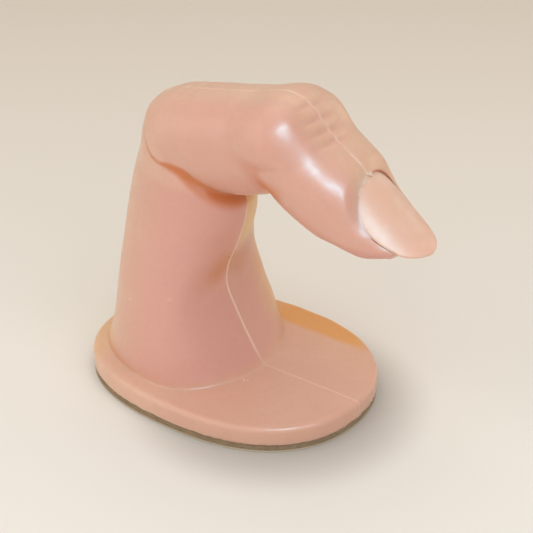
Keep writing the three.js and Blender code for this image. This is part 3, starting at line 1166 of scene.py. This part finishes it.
vinyl = {
    "peach": (0.755, 0.483, 0.35),
    "patch": (0.725, 0.442, 0.318),
    # rosy regions, and the painted shade in the end knuckle's wrinkles
    "rosyAndWrinkleShade": (0.7, 0.36, 0.295),
    # painted shade in the creases, round the column's root and in the gap round the nail
    "foldShade": (0.6, 0.19, 0.065),
    # painted warm reflection
    "warmReflection": (0.78, 0.5, 0.2),
    "glow": (0.77, 0.345, 0.07),
    # painted warm shade on the column's front
    "brownShade": (0.62, 0.27, 0.12),
    "seam": (0.86, 0.62, 0.5),
    "speck": (0.52, 0.26, 0.18),
    # single marks: place in metres, radius, colour
    "marks": [
        (-0.0005, -0.001, 0.0292, 0.00045, (0.35, 0.07, 0.02)),
        (0.0075, -0.0072, 0.0058, 0.0004, (0.9, 0.75, 0.68)),
        (0.0082, -0.0068, 0.0058, 0.0003, (0.9, 0.75, 0.68)),
    ],
    # the painted tints, among them painted shade, painted warm reflection and painted orange light, in the
    # order in which they cover each other, and how strongly
    "tintShares": (("rosyAndWrinkleShade", 1.0), ("warmReflection", 0.9), ("glow", 0.85), ("brownShade", 0.6)),
    "speckShare": 0.1,
    "patches": {"Scale": 95.0},
    "fine": {"Scale": 900.0, "Low": 0.3, "High": 0.8},
    "grain": {"Cells": 2600.0, "Dust": 6500.0, "Share": 0.35},
    "roughLow": 0.3,
    "roughHigh": 0.38,
    "grainDepth": 0.000008,
    "finish": {
        "Subsurface Weight": 0.22,
        "Subsurface Radius": (1.0, 0.42, 0.2),
        "Subsurface Scale": 0.0022,
        "IOR": 1.5,
        "Sheen Weight": 0.08,
        "Sheen Roughness": 0.45,
        "Sheen Tint": (1.0, 0.86, 0.62, 1.0),
    },
}


def makeVinyl():
    material, tree, shader = plainMaterial("softVinyl", vinyl["finish"])
    patches = placeGroup(tree, mottleGroup, vinyl["patches"])
    fine = placeGroup(tree, mottleGroup, vinyl["fine"])
    grain = placeGroup(tree, grainGroup, vinyl["grain"])
    colour = mixColour(tree, patches.outputs["Mask"], vinyl["peach"], vinyl["patch"])
    for name, share in vinyl["tintShares"]:
        painted = mathNode(tree, "MULTIPLY", readMask(tree, name), share)
        colour = mixColour(tree, painted, colour, vinyl[name])
    faint = mathNode(tree, "MULTIPLY", fine.outputs["Mask"], vinyl["speckShare"])
    colour = mixColour(tree, faint, colour, vinyl["speck"])
    # the pale seams, then the painted shade in creases and gaps over everything
    for name in ("seam", "foldShade"):
        colour = mixColour(tree, readMask(tree, name), colour, vinyl[name])
    for px, py, pz, radius, shade in vinyl["marks"]:
        mark = placeGroup(tree, spotGroup, {"X": px, "Y": py, "Z": pz, "Radius": radius})
        colour = mixColour(tree, mark.outputs["Mask"], colour, shade)
    tree.links.new(colour, shader.inputs["Base Color"])
    rough = fitted(tree, fine.outputs["Mask"], vinyl["roughLow"], vinyl["roughHigh"])
    tree.links.new(rough, shader.inputs["Roughness"])
    normal = bumpFrom(tree, grain.outputs["Height"], vinyl["grainDepth"], 1.0)
    tree.links.new(normal, shader.inputs["Normal"])
    return material


nailVinyl = {
    "clear": (0.83, 0.555, 0.44),
    "deep": (0.8, 0.5, 0.385),
    "patches": {"Scale": 160.0},
    "grain": {"Cells": 3400.0, "Dust": 9000.0, "Share": 0.3},
    "roughLow": 0.34,
    "roughHigh": 0.42,
    "grainDepth": 0.000012,
    "finish": {
        "Subsurface Weight": 0.2,
        "Subsurface Radius": (1.0, 0.5, 0.3),
        "Subsurface Scale": 0.0015,
        "IOR": 1.44,
    },
}


def makeNailVinyl():
    material, tree, shader = plainMaterial("nailVinyl", nailVinyl["finish"])
    patches = placeGroup(tree, mottleGroup, nailVinyl["patches"])
    grain = placeGroup(tree, grainGroup, nailVinyl["grain"])
    colour = mixColour(tree, patches.outputs["Mask"], nailVinyl["clear"], nailVinyl["deep"])
    tree.links.new(colour, shader.inputs["Base Color"])
    rough = fitted(tree, patches.outputs["Mask"], nailVinyl["roughLow"], nailVinyl["roughHigh"])
    tree.links.new(rough, shader.inputs["Roughness"])
    normal = bumpFrom(tree, grain.outputs["Height"], nailVinyl["grainDepth"], 1.0)
    tree.links.new(normal, shader.inputs["Normal"])
    return material


# Foam and paper: the share of the patches, and the span that the grain's dust is spread over
tapeLook = {
    "light": (0.46, 0.33, 0.2),
    "dark": (0.16, 0.095, 0.045),
    "patches": {"Scale": 260.0, "Detail": 1.0, "Low": 0.2, "High": 0.8},
    "patchShare": 0.35,
    "grain": {"Cells": 1500.0, "Dust": 1500.0, "Share": 1.0, "Flatten": 7.0},
    "dustSpan": (-0.6, 1.3),
    "roughLow": 0.75,
    "roughHigh": 0.95,
    "grainDepth": 0.00012,
}
paperLook = {
    "light": (0.56, 0.46, 0.34),
    "dark": (0.43, 0.34, 0.24),
    "patches": {"Scale": 400.0, "Detail": 1.0, "Low": 0.2, "High": 0.8},
    "patchShare": 0.35,
    "grain": {"Cells": 2600.0, "Dust": 2600.0, "Share": 1.0, "Flatten": 7.0},
    "dustSpan": (-0.6, 1.3),
    "roughLow": 0.5,
    "roughHigh": 0.65,
    "grainDepth": 0.00003,
}


def makeLayerMaterial(name, look):
    material, tree, shader = plainMaterial(name, {})
    patches = placeGroup(tree, mottleGroup, look["patches"])
    grain = placeGroup(tree, grainGroup, look["grain"])
    faint = mathNode(tree, "MULTIPLY", patches.outputs["Mask"], look["patchShare"])
    colour = mixColour(tree, faint, look["light"], look["dark"])
    speck = fitted(tree, grain.outputs["Speck"], *look["dustSpan"])
    colour = mixColour(tree, speck, colour, look["dark"])
    tree.links.new(colour, shader.inputs["Base Color"])
    rough = fitted(tree, grain.outputs["Speck"], look["roughLow"], look["roughHigh"])
    tree.links.new(rough, shader.inputs["Roughness"])
    normal = bumpFrom(tree, grain.outputs["Height"], look["grainDepth"], 1.0)
    tree.links.new(normal, shader.inputs["Normal"])
    return material


def finishPiece(piece, body, node, material):
    piece.data.materials.clear()
    piece.data.materials.append(material)
    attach(piece, body)
    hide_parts(node)


finishPiece(fingerSkin, "finger", "finger_shell", makeVinyl())
finishPiece(nailPlate, "nail", "nail_plate", makeNailVinyl())
foamMaterial = makeLayerMaterial("foamTape", tapeLook)
finishPiece(foamTape, "finger", "foam_pad", foamMaterial)
paperMaterial = makeLayerMaterial("linerPaper", paperLook)
finishPiece(linerPaper, "liner", "release_liner", paperMaterial)


# Floor, lamps and camera, in metres
room = {
    "floorHalf": 2.6,
    "nearColour": (0.87, 0.845, 0.8),
    "farColour": (0.62, 0.525, 0.433),
    "shadowColour": (0.52, 0.49, 0.45),
    "shadowPlace": (0.0128, -0.0025),
    "shadowReach": (0.027, 0.027),
    "shadowFade": (0.75, 1.25),
    "shadowShare": 0.8,
    # the floor grows darker away from the camera: which way that is, and from where to where
    "awayTurn": -35.06,
    "awaySpan": (-0.12, 0.36),
    "world": (0.96, 0.93, 0.88),
    "worldShown": (0.69, 0.59, 0.5),
    "worldStrength": 0.5,
}
cameraPlace = {
    "target": (0.008048, 0.0, 0.029447),
    "back": (0.4928, -0.7023, 0.5139),
    "distance": 0.4,
    "lens": 135.1,
    "sensor": 36.0,
    "clip": (0.01, 20),
}
lamps = [
    # name, direction it comes from, distance, size, strength on a facing surface, colour, whether it
    # gives highlights alone
    ("glossLamp", (0.5, -0.32, 0.8), 0.62, 0.24, 1.0, (0.36, 0.8, 1.0), True),
    ("frontLamp", (0.6, -0.45, 0.65), 0.75, 1.0, 0.45, (0.95, 0.97, 1.0), False),
    ("leftLamp", (-0.55, -0.72, 0.45), 0.9, 1.1, 0.34, (1.0, 0.98, 0.93), False),
    ("topLamp", (-0.2, 0.3, 0.93), 0.7, 0.7, 0.3, (1.0, 0.93, 0.82), False),
    ("rimLamp", (0.35, 0.9, 0.2), 0.7, 0.3, 0.07, (1.0, 0.75, 0.45), False),
]


def floorShadow(tree, turned):
    # the soft darkening under the front of the foot
    turn = math.radians(room["awayTurn"])
    px, py = room["shadowPlace"]
    centre = (px * math.cos(turn) - py * math.sin(turn), px * math.sin(turn) + py * math.cos(turn), 0)
    perReach = (*(1 / reach for reach in room["shadowReach"]), 0)
    whole, bare = room["shadowFade"]
    move = addNode(tree, "VectorMath", {1: centre}, operation="SUBTRACT")
    scale = addNode(tree, "VectorMath", {1: perReach}, operation="MULTIPLY")
    length = addNode(tree, "VectorMath", operation="LENGTH")
    fade = addNode(tree, "MapRange", {"From Min": whole, "From Max": bare}, interpolation_type="SMOOTHSTEP")
    fade.inputs["To Min"].default_value = room["shadowShare"]
    fade.inputs["To Max"].default_value = 0.0
    tree.links.new(turned, move.inputs[0])
    tree.links.new(move.outputs[0], scale.inputs[0])
    tree.links.new(scale.outputs[0], length.inputs[0])
    tree.links.new(length.outputs["Value"], fade.inputs["Value"])
    return fade.outputs[0]


def makeFloor():
    half = room["floorHalf"]
    mesh = bpy.data.meshes.new("floor")
    corners = [(-half, -half, 0), (half, -half, 0), (half, half, 0), (-half, half, 0)]
    mesh.from_pydata(corners, [], [(0, 1, 2, 3)])
    floor = bpy.data.objects.new("floor", mesh)
    bpy.context.scene.collection.objects.link(floor)
    material, tree, shader = plainMaterial("floor", {"Roughness": 0.85, "Specular IOR Level": 0.2})
    place = addNode(tree, "TexCoord")
    turn = addNode(tree, "Mapping", {"Rotation": (0, 0, math.radians(room["awayTurn"]))})
    split = addNode(tree, "SeparateXYZ")
    tree.links.new(place.outputs["Object"], turn.inputs["Vector"])
    tree.links.new(turn.outputs[0], split.inputs[0])
    near, far = room["awaySpan"]
    fit = addNode(tree, "MapRange", {"From Min": near, "From Max": far}, interpolation_type="SMOOTHSTEP")
    tree.links.new(split.outputs["Y"], fit.inputs["Value"])
    colour = mixColour(tree, fit.outputs[0], room["nearColour"], room["farColour"])
    colour = mixColour(tree, floorShadow(tree, turn.outputs[0]), colour, room["shadowColour"])
    tree.links.new(colour, shader.inputs["Base Color"])
    mesh.materials.append(material)


def makeWorld():
    world = bpy.data.worlds.new("studio")
    bpy.context.scene.world = world
    world.use_nodes = True
    tree = world.node_tree
    light = tree.nodes["Background"]
    light.inputs["Color"].default_value = (*room["world"], 1)
    light.inputs["Strength"].default_value = room["worldStrength"]
    shown = addNode(tree, "Background")
    shown.inputs["Color"].default_value = (*room["worldShown"], 1)
    path = addNode(tree, "LightPath")
    mix = addNode(tree, "MixShader")
    tree.links.new(path.outputs["Is Camera Ray"], mix.inputs[0])
    tree.links.new(light.outputs[0], mix.inputs[1])
    tree.links.new(shown.outputs[0], mix.inputs[2])
    tree.links.new(mix.outputs[0], tree.nodes["World Output"].inputs["Surface"])


def makeLamp(name, direction, distance, size, strength, colour, glossOnly):
    data = bpy.data.lights.new(name, "AREA")
    data.shape = "DISK"
    data.size = size
    data.color = colour
    data.energy = strength * math.pi**2 * distance**2
    lamp = bpy.data.objects.new(name, data)
    bpy.context.scene.collection.objects.link(lamp)
    lamp.visible_diffuse = not glossOnly
    way = Vector(direction).normalized()
    lamp.location = Vector(cameraPlace["target"]) + way * distance
    lamp.rotation_euler = way.to_track_quat("Z", "Y").to_euler()


def makeCamera():
    data = bpy.data.cameras.new("camera")
    data.lens = cameraPlace["lens"]
    data.sensor_width = cameraPlace["sensor"]
    data.clip_start, data.clip_end = cameraPlace["clip"]
    camera = bpy.data.objects.new("camera", data)
    bpy.context.scene.collection.objects.link(camera)
    way = Vector(cameraPlace["back"]).normalized()
    camera.location = Vector(cameraPlace["target"]) + way * cameraPlace["distance"]
    camera.rotation_euler = way.to_track_quat("Z", "Y").to_euler()
    bpy.context.scene.camera = camera


print("floor, lamps and camera")
makeFloor()
makeWorld()
for lampRow in lamps:
    makeLamp(*lampRow)
makeCamera()
bpy.context.scene.view_settings.view_transform = "Standard"
